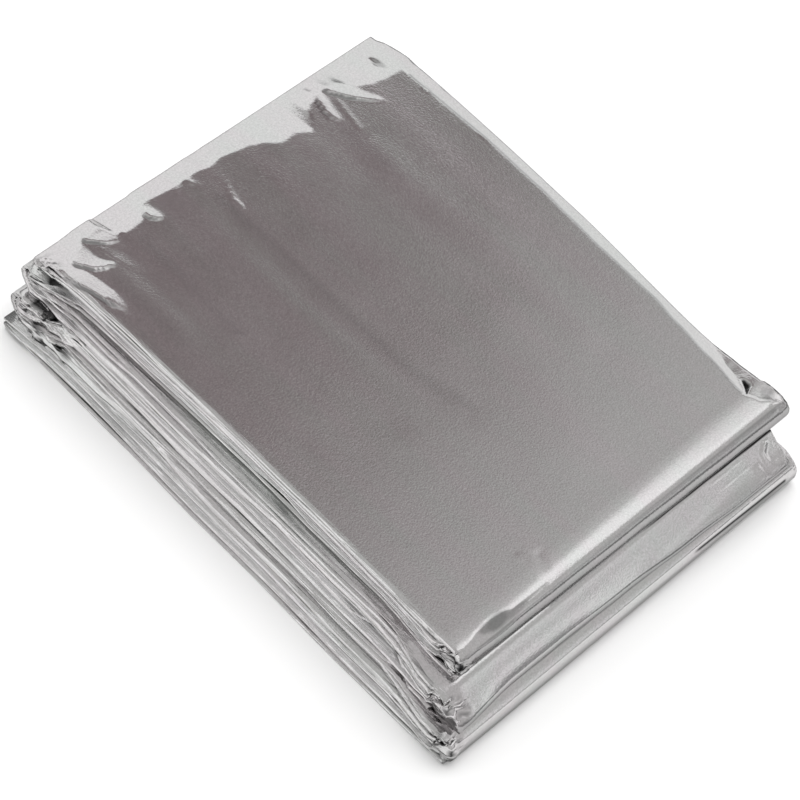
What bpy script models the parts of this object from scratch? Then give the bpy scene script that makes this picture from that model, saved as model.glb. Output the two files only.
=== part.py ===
"""Emergency foil blanket, folded into a pad for a first aid kit.

A thin metallised film sheet is folded back and forth over its width into a
strip of a few layers. The strip is then folded back and forth over its
length, so its thick round turns lie at the pad's short ends and the thin
layers show along its long sides. The pad lies flat, its bottom centre at the
origin, its length along X, its width along Y and its thickness along Z.

The sizes below are in millimetres. The mesh is in metres.
"""

import math
from collections import namedtuple

import bmesh
import bpy

MM = 0.001

# Film
FILM = 1.0  # thickness that each layer is given
LAYER_GAP = 0.4  # air between the layers of one pass
LAYERS = 3  # layers over the strip's thickness
PITCH = FILM + LAYER_GAP
TURN_RADIUS = PITCH / 2
STRIP_HEIGHT = LAYERS * FILM + (LAYERS - 1) * LAYER_GAP

# Round turns of the strip at the pad's front, from the top down, and its ends
# and turns at the back. x is where the straight passes stop, lean is how much
# further that is at the right corner than at the left, and left and right are
# the strip's long edges there. swell is how much of its round reach a turn
# has, and corner is how far it steps back at its two corners.
Fold = namedtuple("Fold", "x lean left right swell corner")
FRONT_FOLDS = (
    Fold(61.0, 1.6, -48.8, 52.8, 1.00, 0.2),
    Fold(66.2, 2.6, -53.6, 50.0, 1.00, 1.2),
    Fold(69.2, 0.8, -57.2, 54.4, 1.00, 0.6),
)
BACK_FOLDS = (
    Fold(-66.2, 0.0, -49.6, 53.4, 0.0, 0.2),
    Fold(-65.0, 0.4, -52.0, 52.6, 1.00, 0.2),
    Fold(-65.2, -0.4, -54.0, 53.2, 0.95, 0.6),
    Fold(-68.4, 0.0, -54.8, 53.4, 0.0, 0.4),
)
PASSES = 2 * len(FRONT_FOLDS)

# Air under each pass but the last, at the back end and at the front end.
Air = namedtuple("Air", "back front")
PASS_GAPS = (
    Air(0.5, 0.8),
    Air(0.5, 0.4),
    Air(0.4, 0.5),
    Air(0.5, 0.4),
    Air(0.4, 0.4),
)

# How far each layer's long edges stand out past the strip's own edge, for
# each pass: the cut edge and the turn on the left, the turn and the cut edge
# on the right. drawn_in is how far the left edge draws in between its ends.
Edges = namedtuple("Edges", "left_cut left_turn right_turn right_cut drawn_in")
PASS_EDGES = (
    Edges(1.2, -0.2, 0.0, -0.6, 1.1),
    Edges(0.6, 0.2, -0.3, 0.3, 2.2),
    Edges(1.0, -0.4, -0.5, 0.4, 2.6),
    Edges(0.8, 0.2, 0.0, -0.5, 1.7),
    Edges(0.4, 0.5, -0.4, 0.5, 0.9),
    Edges(1.0, -0.2, 0.0, 0.2, 0.0),
)
DRAW_SHARE = 0.14  # share of a pass over which its left edge draws in
EDGE_ZONE = 0.92  # share of the half width beyond which the edges wander
EDGE_WANDER = 0.45  # how far the long edges sway along the pad
WANDER_WAVES = 1.7  # sways over the pad's length
WANDER_SHIFT = 2.2  # phase from one pass to the next

# How far the top pass's right edge bows out, from the back to the front.
Bow = namedtuple("Bow", "share out")
TOP_RIGHT_BOWS = (
    Bow(0.00, 0.2),
    Bow(0.20, 1.9),
    Bow(0.55, 1.2),
    Bow(0.85, -0.9),
    Bow(1.00, 0.0),
)

# Soft relief of the top pass
TOP_LIFT = 0.9  # how far the slack top layer stands over the next
LIFT_MARGIN = 16.0  # the lift dies out over this distance to the edges
BACK_DROOP = 1.6  # fall of the top at the back edge
BACK_DROOP_REACH = 13.0
SIDE_DROOP = 1.5  # fall of the top at the right edge
CORNER_SHARE = 0.1  # share of a pass over which its corners step back

# Troughs and ridges pressed into the top layer: a line from one point to
# another, its half width and its height.
Crease = namedtuple("Crease", "x1 y1 x2 y2 half_width height")
TOP_CREASES = (
    Crease(-55.0, 4.0, 0.0, 6.0, 7.0, -0.55),
    Crease(0.0, 6.0, 24.0, 1.0, 6.0, -0.50),
    Crease(-48.0, 13.0, -16.0, 13.0, 4.5, 0.35),
    Crease(-60.0, -32.0, -44.0, -30.0, 5.0, 0.30),
    Crease(40.0, 20.0, 58.0, 26.0, 6.0, 0.25),
)

# Mesh density
TOP_LAYER_UNITS = (0.0, 0.16, 0.32, 0.48, 0.62, 0.74, 0.84, EDGE_ZONE, 1.0)
HIDDEN_LAYER_UNITS = (0.0, 0.5, EDGE_ZONE, 1.0)
LAYER_TURN_STEPS = 4
TOP_PASS_STEPS = 18
HIDDEN_PASS_STEPS = 6
FRONT_TURN_STEPS = 7
BACK_TURN_STEPS = 5
EDGE_CROWDING = 0.45  # how much closer the steps lie towards the edges

FILM_COLOUR = (0.62, 0.61, 0.61, 1.0)
FILM_ROUGHNESS = 0.18

AcrossStation = namedtuple("AcrossStation", "unit bulge depth layer")
AlongStation = namedtuple("AlongStation", "passage share angle")


def mix(start, end, share):
    return start + (end - start) * share


def smooth(value):
    """Ease from 0 to 1, flat at both ends."""
    value = min(max(value, 0.0), 1.0)
    return value * value * (3.0 - 2.0 * value)


def crowded(step, steps):
    """Position from -1 to 1 of a step, with shorter steps at both ends."""
    even = 2.0 * step / steps - 1.0
    return even + EDGE_CROWDING * math.sin(math.pi * even) / math.pi


def both_sides(half_units):
    """Positions from -1 to 1, from those of the right half."""
    return [-unit for unit in reversed(half_units[1:])] + list(half_units)


def across_stations():
    """Stations over the strip's width, from the sheet's first cut edge."""
    stations = []
    for layer in range(LAYERS):
        side = 1 if layer % 2 == 0 else -1
        depth = FILM / 2 + layer * PITCH
        half_units = TOP_LAYER_UNITS if layer == 0 else HIDDEN_LAYER_UNITS
        for unit in both_sides(half_units):
            stations.append(AcrossStation(side * unit, 0.0, depth, layer))
        if layer == LAYERS - 1:
            break
        for step in range(1, LAYER_TURN_STEPS):
            angle = math.pi * step / LAYER_TURN_STEPS
            bulge = side * TURN_RADIUS * math.sin(angle)
            lower = depth + TURN_RADIUS * (1.0 - math.cos(angle))
            stations.append(AcrossStation(float(side), bulge, lower, layer))
    return stations


def along_stations():
    """Stations over the strip's length, from the top pass's back end."""
    stations = []
    for passage in range(PASSES):
        forward = passage % 2 == 0
        steps = TOP_PASS_STEPS if passage == 0 else HIDDEN_PASS_STEPS
        for step in range(steps + 1):
            share = (crowded(step, steps) + 1.0) / 2.0
            share = share if forward else 1.0 - share
            stations.append(AlongStation(passage, share, None))
        if passage == PASSES - 1:
            break
        turn_steps = FRONT_TURN_STEPS if forward else BACK_TURN_STEPS
        for step in range(1, turn_steps):
            angle = math.pi * step / turn_steps
            stations.append(AlongStation(passage, float(forward), angle))
    return stations


def fold_pair(passage):
    """The back fold and the front fold that a pass runs between."""
    return BACK_FOLDS[(passage + 1) // 2], FRONT_FOLDS[passage // 2]


def pass_floor(passage, share):
    """Height of a pass's lower face."""
    height = 0.0
    for below in range(passage, PASSES - 1):
        gap = PASS_GAPS[below]
        height += STRIP_HEIGHT + mix(gap.back, gap.front, share)
    return height


def edge_share(across):
    """0 over the middle of the strip, growing to 1 at its long edges."""
    return max((abs(across.unit) - EDGE_ZONE) / (1.0 - EDGE_ZONE), 0.0)


def edge_offset(across, passage):
    """How far the edge table moves a station outwards."""
    edges = PASS_EDGES[passage]
    if across.unit < 0:
        reach = edges.left_cut if across.layer == 0 else edges.left_turn
    else:
        reach = edges.right_cut if across.layer == LAYERS - 1 else edges.right_turn
    return reach * edge_share(across)


def bow(share):
    """How far the top pass's right edge stands out at a share of its length."""
    for first, last in zip(TOP_RIGHT_BOWS, TOP_RIGHT_BOWS[1:]):
        if share <= last.share:
            part = (share - first.share) / (last.share - first.share)
            return mix(first.out, last.out, smooth(part))
    return TOP_RIGHT_BOWS[-1].out


def wander(across, along):
    """Sway of the long edges between the pad's ends."""
    phase = WANDER_SHIFT * along.passage
    ends = math.sin(math.pi * along.share)
    sway = EDGE_WANDER * ends * math.sin(2.0 * math.pi * WANDER_WAVES * along.share + phase)
    if along.passage == 0 and across.unit > 0:
        sway += bow(along.share)
    if across.unit < 0:
        to_end = min(along.share, 1.0 - along.share)
        sway -= PASS_EDGES[along.passage].drawn_in * smooth(to_end / DRAW_SHARE)
    return sway * edge_share(across)


def corner_cut(across, back, front, share):
    """How far an end of the strip steps back near the pad's long sides."""
    to_front = smooth((share - 1.0 + CORNER_SHARE) / CORNER_SHARE)
    to_back = smooth((CORNER_SHARE - share) / CORNER_SHARE)
    return edge_share(across) * (back.corner * to_back - front.corner * to_front)


def crease_height(crease, x, y):
    """Height of one trough or ridge at a point of the top face."""
    run_x = crease.x2 - crease.x1
    run_y = crease.y2 - crease.y1
    share = ((x - crease.x1) * run_x + (y - crease.y1) * run_y) / (run_x ** 2 + run_y ** 2)
    share = min(max(share, 0.0), 1.0)
    distance = math.hypot(x - crease.x1 - share * run_x, y - crease.y1 - share * run_y)
    return crease.height * smooth(1.0 - distance / (2.0 * crease.half_width))


def top_relief(x, y):
    """Slack and creases of the uppermost layer of film."""
    back, front = fold_pair(0)
    margin = min(x - back.x, front.x - x, y - front.left, front.right - y)
    slack = TOP_LIFT * smooth(margin / LIFT_MARGIN)
    creases = sum(crease_height(crease, x, y) for crease in TOP_CREASES)
    return slack + creases * smooth(margin / (LIFT_MARGIN / 2))


def droop(across, x, height):
    """Fall of the upper part of the pad at its back and right edges."""
    back = fold_pair(0)[0]
    pad_height = pass_floor(0, 1.0) + STRIP_HEIGHT
    to_top = smooth((height - STRIP_HEIGHT) / (pad_height - STRIP_HEIGHT))
    at_back = BACK_DROOP * (1.0 - smooth((x - back.x) / BACK_DROOP_REACH))
    at_side = SIDE_DROOP * edge_share(across) if across.unit > 0 else 0.0
    return to_top * math.hypot(at_back, at_side)


def place_sideways(across, along):
    """Place over the pad's width."""
    passage = along.passage
    back, front = fold_pair(passage)
    left = mix(back.left, front.left, along.share)
    right = mix(back.right, front.right, along.share)
    half_width = (right - left) / 2 - TURN_RADIUS - FILM / 2
    outwards = edge_offset(across, passage) + wander(across, along)
    if along.angle is not None:
        turned = smooth(along.angle / math.pi)
        outwards = mix(outwards, edge_offset(across, passage + 1), turned)
    side = math.copysign(1.0, across.unit)
    return (left + right) / 2 + across.unit * half_width + across.bulge + side * outwards


def place_lengthways(across, along):
    """Place over the pad's length, and height before the top sags."""
    passage = along.passage
    forward = passage % 2 == 0
    back, front = fold_pair(passage)
    x = mix(back.x, front.x, along.share) + corner_cut(across, back, front, along.share)
    x += mix(back.lean, front.lean, along.share) * across.unit / 2
    floor = pass_floor(passage, along.share)
    over = STRIP_HEIGHT - across.depth if forward else across.depth
    if along.angle is None:
        return x, floor + over
    gap = PASS_GAPS[passage]
    half_gap = (gap.front if forward else gap.back) / 2
    radius = over + half_gap
    reach = radius * math.sin(along.angle)
    x += reach * front.swell if forward else -reach * back.swell
    return x, floor - half_gap + radius * math.cos(along.angle)


def place(across, along):
    """Point of the folded sheet's middle surface at a pair of stations."""
    y = place_sideways(across, along)
    x, height = place_lengthways(across, along)
    on_top = along.passage == 0 and along.angle is None
    if on_top and across.layer == 0 and across.bulge == 0.0:
        height += top_relief(x, y)
    return x, y, height - droop(across, x, height)


def folded_sheet():
    """The folded film's middle surface, made from a flat grid."""
    across = across_stations()
    along = along_stations()
    across_steps = len(across) - 1
    along_steps = len(along) - 1
    mesh = bmesh.new()
    bmesh.ops.create_grid(mesh, x_segments=across_steps, y_segments=along_steps, size=1.0)
    for vertex in mesh.verts:
        column = round((vertex.co.x + 1.0) / 2.0 * across_steps)
        row = round((vertex.co.y + 1.0) / 2.0 * along_steps)
        vertex.co = place(across[column], along[row])
    return mesh


def centre_on_base(mesh):
    """Move the mesh over the origin and bring it to metres."""
    for axis in (0, 1):
        places = [vertex.co[axis] for vertex in mesh.verts]
        middle = (min(places) + max(places)) / 2
        for vertex in mesh.verts:
            vertex.co[axis] -= middle
    for vertex in mesh.verts:
        vertex.co *= MM


def film_material():
    """Bright metallised polyester film."""
    material = bpy.data.materials.new("metallised_film")
    material.use_nodes = True
    shader = material.node_tree.nodes["Principled BSDF"]
    shader.inputs["Base Color"].default_value = FILM_COLOUR
    shader.inputs["Metallic"].default_value = 1.0
    shader.inputs["Roughness"].default_value = FILM_ROUGHNESS
    return material


def add_blanket(collection):
    """The folded sheet as one solid of film."""
    mesh = folded_sheet()
    centre_on_base(mesh)
    bmesh.ops.recalc_face_normals(mesh, faces=mesh.faces)
    data = bpy.data.meshes.new("foil_blanket")
    mesh.to_mesh(data)
    mesh.free()
    data.materials.append(film_material())
    data.shade_smooth()
    blanket = bpy.data.objects.new("foil_blanket", data)
    collection.objects.link(blanket)
    thickness = blanket.modifiers.new("film", "SOLIDIFY")
    thickness.thickness = FILM * MM
    thickness.offset = 0.0
    thickness.use_even_offset = True
    thickness.use_rim = True


def main():
    for item in list(bpy.data.objects):
        bpy.data.objects.remove(item, do_unlink=True)
    collection = bpy.data.collections.new("emergency_foil_blanket")
    bpy.context.scene.collection.children.link(collection)
    add_blanket(collection)


main()
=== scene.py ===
"""Looks of the folded emergency foil blanket: its film, its studio and a camera.

The blanket is one thin metallised sheet. It is made as a flat grid whose two
coordinates run across and along the strip, and each point of the grid is then
placed where the folds carry it: back and forth over the pad's width in thin
layers, and back and forth over its length in thick passes.

Sizes are in millimetres, seen from a point of the top face, with x along the
pad to its front, y over its width to its right, and z up from the floor.
"""

import math
from collections import namedtuple

import bmesh
import bpy
from mathutils import Matrix, Vector, noise


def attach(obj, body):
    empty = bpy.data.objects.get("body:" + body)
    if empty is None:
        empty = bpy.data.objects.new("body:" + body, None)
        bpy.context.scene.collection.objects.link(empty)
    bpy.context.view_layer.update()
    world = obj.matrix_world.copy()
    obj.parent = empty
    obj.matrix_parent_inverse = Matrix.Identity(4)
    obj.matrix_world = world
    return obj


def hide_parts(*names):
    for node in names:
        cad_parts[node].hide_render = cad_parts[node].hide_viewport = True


MM = 0.001
TABLE_ORIGIN = Vector((-2.194, 1.153, 0.0))  # the tables' zero, in the frame

# Film and layers
FILM = 0.15
LAYERS = 5
PASSES = 6
STRIP_HEIGHT = 3.8
TOP_HEIGHT = 25.3  # the flat part of the top face, over the floor

# Ends of the strip's passes, from the top down. x is where a turn begins, and
# left and right are the strip's long edges there. lean is how much further a
# back turn's x is at the right than at the left.
Fold = namedtuple("Fold", "x lean left right")
FRONT_FOLDS = (
    Fold(57.0, 0.0, -49.0, 51.1),
    Fold(61.0, 0.0, -53.4, 49.6),
    Fold(66.6, 0.0, -56.4, 54.0),
)
BACK_FOLDS = (
    Fold(-66.2, 0.0, -49.2, 53.4),
    Fold(-65.0, 0.4, -50.6, 52.6),
    Fold(-65.2, -0.4, -53.6, 53.2),
    Fold(-68.4, 0.0, -54.4, 53.4),
)

# Outer layer of each front turn, from the top down: pairs of a length along it
# and its tilt from level there, in degrees.
FRONT_BENDS = (
    ((0.0, 0.0), (2.1, 3.0), (3.4, 8.0), (5.1, 14.0), (5.9, 24.0), (7.6, 48.0),
     (9.0, 75.0), (10.3, 90.0), (12.0, 105.0), (14.0, 135.0), (15.5, 165.0), (17.0, 180.0),
     (21.0, 182.0)),
    ((0.0, 0.0), (1.8, 8.0), (3.2, 28.0), (4.2, 38.0), (6.8, 42.0), (10.9, 45.0),
     (11.2, 60.0), (11.6, 90.0), (12.6, 120.0), (14.3, 165.0), (15.3, 180.0), (22.1, 181.0)),
    ((0.0, 0.0), (1.5, 12.0), (2.4, 28.0), (5.0, 38.0), (5.5, 60.0), (7.0, 75.0),
     (8.3, 90.0), (10.3, 96.0), (11.5, 125.0), (12.7, 165.0), (13.7, 180.0), (17.1, 181.0)),
)
BEND_STEPS = 240
# How much further out each front turn stands along y.
SHIFT_PLACES = (-50.0, -33.0, -20.0, 0.0, 20.0, 35.0, 50.0)
FRONT_SHIFTS = (
    (-0.8, -0.5, -0.3, 0.0, 0.35, 0.6, 0.8),
    (0.6, -0.5, -0.4, 0.1, 1.0, 1.7, 2.0),
    (-0.4, -0.3, -0.2, 0.0, 0.1, 0.2, 0.4),
)
SHIFT_POWER = 7  # a shift grows with this power of how far out a point is
ONSET_SHIFTS = (1.0, 1.0, 0.6, 0.2, -0.4, -0.8, -0.8)  # at the top roll's start
ONSET_REACH = 5.2
BACK_REACH = 4.4  # how far a back turn's outer layer stands out

# Air under each pass but the last, at the back end and at the front end.
Air = namedtuple("Air", "back front")
PASS_GAPS = (
    Air(0.5, 0.8),
    Air(0.5, 0.4),
    Air(0.4, 0.5),
    Air(0.5, 0.4),
    Air(0.4, 0.4),
)

# Long edges of each pass near its back end, in the middle and near its front
# end, and how much further out its lowest layer is than its uppermost.
Side = namedtuple("Side", "near_back middle near_front lean")
LEFT_SIDES = (
    Side(-48.0, -47.7, -48.4, -0.4),
    Side(-47.2, -46.9, -47.5, -0.1),
    Side(-49.6, -50.1, -50.6, 1.3),
    Side(-50.9, -51.6, -52.2, 1.4),
    Side(-52.2, -53.2, -54.1, 1.5),
    Side(-53.8, -54.9, -55.8, 1.5),
)
RIGHT_SIDES = (
    Side(55.6, 54.2, 50.9, 0.2),
    Side(53.2, 52.4, 51.8, 0.2),
    Side(53.0, 52.0, 50.6, 0.3),
    Side(53.4, 52.4, 51.4, 0.2),
    Side(53.2, 53.0, 52.6, 0.2),
    Side(53.6, 53.4, 53.8, 0.4),
)
SIDE_SHARES = (0.0, 0.12, 0.5, 0.86, 1.0)

# Where the second, third and fourth layers of each pass lie in its height, at
# the back and at the front: 0 is the strip's outer face, and 1 its inner one.
BACK_SPREADS = (
    (0.22, 0.45, 0.72), (0.3, 0.52, 0.8), (0.24, 0.4, 0.58),
    (0.12, 0.76, 0.86), (0.1, 0.2, 0.3), (0.24, 0.5, 0.78),
)
FRONT_SPREADS = (
    (0.28, 0.5, 0.75), (0.22, 0.46, 0.74), (0.18, 0.36, 0.62),
    (0.26, 0.46, 0.74), (0.24, 0.46, 0.7), (0.22, 0.48, 0.75),
)
EDGE_BULGE = 0.75  # a layer turn's reach, as a share of half its height
MOST_BULGE = 0.8
PLEATS = 1.8  # long creases over a layer turn, per radian
PLEAT_LENGTH = 30.0
PLEAT_HEIGHT = 0.16

# Uneven long edges
HALF_WIDTH = 51.0
PASS_LENGTH = 130.0
PASS_START = 66.0  # how far behind zero a pass starts
EDGE_ZONE = 0.92  # share of the half width beyond which the edges sway
SWAY = 0.35
SWAY_LENGTH = 22.0
END_SWAY = 0.8  # extra sway of the left edges at the pad's ends
END_SWAY_LENGTH = 4.0
END_REACH = 12.0

# Relief of the top face
BACK_DROP = 1.7  # fall of the face to the pad's back edge
BACK_SLOPE = 0.3  # the steepest it falls there
BAND_SOFTNESS = 0.5
# Where the fall to the back begins: pairs of y and x.
BACK_BOUNDARY = (
    (-49.0, -60.0), (-45.2, -58.6), (-41.0, -61.2), (-38.0, -62.6), (-34.0, -63.0),
    (-31.5, -58.8), (-28.5, -58.2), (-25.0, -58.4), (-22.8, -60.0), (-21.3, -61.9),
    (-12.0, -61.0), (-6.0, -61.2), (-3.0, -60.4), (0.0, -60.9), (7.5, -59.6),
    (10.0, -58.4), (14.9, -55.3), (18.6, -55.5), (20.2, -54.5), (21.9, -53.3),
    (23.4, -55.2), (25.0, -58.2), (27.5, -59.7), (31.0, -60.6), (35.0, -60.0),
    (38.2, -57.6), (40.0, -56.3), (43.0, -55.0), (47.0, -54.2), (50.0, -54.0),
    (56.0, -54.0),
)

# Wrinkles that run in from the back edge. Each falls to its right with an even
# slope over its width, and has a short steep step on its left. A knot is x, y
# and the width there.
Wrinkle = namedtuple("Wrinkle", "slope knots")
WRINKLES = (
    Wrinkle(0.11, ((-58.1, -46.7, 3.9), (-55.9, -45.75, 4.2), (-53.8, -45.2, 4.3), (-51.3, -44.6, 3.8),
                   (-47.2, -43.85, 3.4), (-44.3, -43.5, 1.9), (-42.4, -43.4, 0.0))),
    Wrinkle(0.11, ((-57.8, -41.75, 5.0), (-56.3, -40.95, 3.9), (-54.7, -40.0, 3.8),
                   (-53.6, -38.5, 2.6), (-52.9, -37.0, 0.0))),
    Wrinkle(0.08, ((-61.6, -36.0, 5.0), (-60.1, -34.8, 4.3), (-58.6, -33.85, 3.3), (-57.9, -33.2, 2.2),
                   (-57.2, -32.2, 0.0))),
    Wrinkle(0.09, ((-61.0, -30.4, 1.2), (-59.0, -30.4, 1.1), (-56.6, -30.1, 0.0))),
    Wrinkle(0.11, ((-61.0, -21.7, 1.0), (-59.5, -22.2, 2.5), (-58.0, -22.0, 2.9), (-56.5, -21.35, 1.8),
                   (-55.6, -21.0, 0.0))),
    Wrinkle(0.11, ((-61.0, -9.9, 1.1), (-59.0, -9.3, 1.1), (-56.6, -8.8, 0.0))),
    Wrinkle(0.16, ((-55.5, -3.2, 0.3), (-53.0, -4.2, 0.6), (-51.0, -5.0, 0.9), (-48.5, -5.4, 1.0),
                   (-46.5, -5.4, 0.7), (-44.3, -5.2, 0.0))),
    Wrinkle(0.11, ((-60.0, 30.2, 1.8), (-58.8, 29.9, 2.6), (-57.2, 29.6, 2.7), (-55.5, 29.05, 2.6),
                   (-53.8, 28.85, 2.2), (-52.3, 28.95, 1.4), (-51.2, 29.1, 0.0))),
    Wrinkle(0.09, ((-59.0, 35.3, 5.9), (-57.2, 36.1, 4.9), (-55.0, 37.1, 3.8), (-53.4, 38.2, 2.9),
                   (-51.3, 39.8, 1.9), (-49.0, 41.4, 0.0))),
    Wrinkle(0.045, ((-56.0, 32.7, 1.2), (-50.0, 31.6, 1.4), (-46.0, 31.0, 1.2), (-42.5, 30.5, 0.0))),
    Wrinkle(0.025, ((-57.0, -36.0, 2.6), (-54.0, -35.0, 3.2), (-50.0, -34.2, 2.6),
                    (-46.5, -33.5, 0.0))),
)
WRINKLE_ROOT = 1.5  # a wrinkle fades behind its first knot over this length,
ROOT_LENGTH = 12.0  # and this many times its height more
WRINKLE_STEP = 0.4  # width of the step on its left
THINNEST_WRINKLE = 0.01
WRINKLE_EDGE = 0.08  # share of the width over which a wrinkle's edges are round
STEP_SHADE = 0.5  # painted shade on the step,
STEP_SHADE_REACH = 0.6  # and this far beyond it,
STEP_SHADE_EASE = 0.3
STEP_SHADE_FROM = 0.12  # where the wrinkle is higher than this
STEP_SHADE_GROWTH = 0.2

# Small dents and bumps of the top face: place, half lengths and height.
Dent = namedtuple("Dent", "x y half_x half_y height")
DENTS = (
    Dent(-59.4, 47.6, 2.6, 1.1, -0.30),
    Dent(-63.2, 29.6, 0.8, 0.6, -0.12),
    Dent(-59.8, -13.0, 0.5, 1.8, 0.06),
    Dent(-45.8, 51.0, 1.2, 1.0, 0.12),
    Dent(-27.8, 51.3, 1.4, 0.9, 0.12),
    Dent(-39.0, -44.6, 0.5, 0.5, 0.07),
    Dent(-38.6, -29.0, 0.4, 0.4, 0.06),
    Dent(-41.5, 17.8, 0.5, 0.5, 0.06),
    Dent(24.0, -9.5, 0.4, 0.4, 0.05),
)

# Darkened ovals of the top face and its roll: place, half lengths, amount
Shade = namedtuple("Shade", "x y half_x half_y amount")
SHADES = (
    Shade(61.5, -37.0, 1.3, 3.4, 0.50),
    Shade(61.2, -39.8, 0.9, 2.0, 0.40),
    Shade(62.2, -33.0, 0.6, 4.5, 0.35),
    Shade(60.4, 49.6, 1.6, 1.7, 0.35),
    Shade(-59.0, 48.1, 2.2, 0.8, 0.30),
    Shade(-63.2, 29.6, 0.9, 0.35, 0.40),
)

# Soft troughs and ridges: points that each runs through, its half width and
# its height.
Crease = namedtuple("Crease", "points half_width height")
CREASES = (
    Crease(((-46.0, -10.4), (-20.0, -10.5), (4.0, -9.4), (22.0, -5.0)), 2.2, -0.05),
    Crease(((-36.0, -10.4), (-20.0, -10.5), (4.0, -9.4), (14.0, -6.8)), 2.2, -0.05),
    Crease(((-54.0, -34.0), (-36.0, -34.0), (-26.0, -34.0)), 2.2, -0.08),
    Crease(((-26.0, -38.0), (6.0, -38.0)), 2.2, -0.06),
    Crease(((-24.0, -22.5), (14.0, -20.0)), 2.6, -0.05),
    Crease(((-40.0, 29.0), (-10.0, 31.0), (24.0, 30.0)), 3.2, 0.05),
    Crease(((10.0, 20.0), (40.0, 8.0)), 8.0, 0.05),
)

# Streaks of painted shade along the face: here a crease's height is its darkness.
SHADE_STREAKS = (
    Crease(((-52.0, -7.6), (-20.0, -8.0), (6.0, -7.4), (20.0, -4.4)), 1.3, 0.11),
    Crease(((-54.0, -28.4), (-34.0, -29.0), (-24.0, -29.4)), 1.3, 0.07),
    Crease(((-50.0, -40.4), (-30.0, -40.2)), 1.4, 0.07),
    Crease(((-56.0, 27.6), (-34.0, 28.4)), 1.3, 0.05),
)
STREAK_HEIGHT = 0.03  # soft streaks along the back half of the face
STREAK_WIDTH = 5.0
STREAK_LENGTH = 90.0
STREAKS_FROM = 30.0  # they grow from this x to the back, over a length
STREAKS_EASE = 40.0
QUIET_EDGE = 5.0  # creases and streaks fade out this near the long edges

# Short pinches where the face meets its front roll
PINCHES = (
    Crease(((56.0, -19.0), (61.0, -21.5), (64.5, -24.0)), 0.6, -0.10),
    Crease(((54.0, -22.5), (63.0, -21.0)), 0.5, 0.05),
)

# Ridges on the second front turn, over the pass that runs into it: a loop at
# its right end, a small facet and short dashes.
SECOND_TURN_PASS = 2
SECOND_TURN_RIDGES = (
    Crease(((65.7, 46.3), (66.8, 44.9), (68.5, 44.6), (70.0, 45.6), (70.4, 46.8),
            (70.2, 48.6), (68.7, 50.2)), 0.35, 0.4),
    Crease(((68.3, 41.3), (70.8, 42.2)), 0.5, 0.35),
    Crease(((65.3, 29.0), (65.3, 33.5)), 0.2, 0.06),
    Crease(((65.3, 35.4), (65.3, 37.4)), 0.2, 0.06),
    Crease(((67.2, 30.0), (67.2, 35.0)), 0.2, 0.06),
    Crease(((67.2, 37.2), (67.2, 39.5)), 0.2, 0.06),
)

# Tuck on the ledge of the third pass, at the front of its left edge: the
# ledge steps down to the left of a line, given as y along x.
TUCK_PLACES = (50.4, 51.6, 59.8, 61.0)
TUCK_LINE = (-51.6, -49.4, -52.4, -52.6)
TUCK_STEP = 0.2
TUCK_WIDTH = 0.5
TUCK_EASE = 1.5  # the step grows over this length of x
LEDGE_FALL = 0.2  # slope of the ledge to the left of a y, from an x on
LEDGE_FALL_X = 47.0
LEDGE_FALL_Y = -49.2
LEDGE_FALL_EASE = 5.0

# Painted shadow of a slit along the third front turn: its height is its darkness.
THIRD_TURN_PASS = 4
THIRD_TURN_SLIT_SHADOW = Crease(((71.9, 20.0), (72.12, 35.0), (72.35, 50.0)), 0.14, 1.0)

# Fall of the upper layers to the right edge: y at which it begins, along x,
# and y at which it ends, where that is before the edge.
RIGHT_FALL_PLACES = (-66.0, -50.0, -40.0, -28.0, -10.0, 0.0, 10.0,
                     27.0, 35.0, 45.0, 57.0, 60.0, 62.0, 65.0)
RIGHT_FALL_STARTS = (51.0, 50.9, 51.2, 51.5, 51.0, 50.2, 49.5,
                     48.9, 47.7, 46.5, 45.0, 46.4, 48.4, 52.5)
SHELF_PLACES = (41.0, 45.5, 50.0, 57.0, 60.0, 62.0, 65.0)
SHELF_STARTS = (51.5, 49.6, 48.2, 45.7, 47.2, 49.2, 53.5)
RIGHT_DROP = 1.3
RIGHT_SLOPE = 0.3  # the steepest it falls
RIGHT_FOLD_SHADE = 0.4  # painted shade along the fold, between two places
RIGHT_LINE_WIDTH = 0.55
RIGHT_LINE_START = -52.0
RIGHT_LINE_END = 57.0

# The hole under the folded corner at the right of the front.
HOLE = ((53.8, 48.2), (56.5, 48.7), (57.9, 45.5))
HOLE_DEPTH = 0.7
HOLE_EASE = 0.3  # it deepens over this length from its border, and painted shade darkens it
HOLE_DARK_EASE = 0.15  # over this one

# Hollow pressed into the front roll, at the left: where it begins in x along y.
HOLLOW_PLACES = (-51.0, -45.0, -42.0, -38.0, -35.0, -31.0, -26.0, -21.0)
HOLLOW_STARTS = (61.2, 60.7, 60.2, 59.9, 60.2, 61.6, 62.5, 63.6)
HOLLOW_SLOPE = 0.46

LEFT_ROLL = 0.9  # width of the rolled lip at a left cut edge
LEFT_ROLL_DROP = 0.6
SAG_DEPTH = 12.0  # the layers sag with the top face down to this depth

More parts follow.
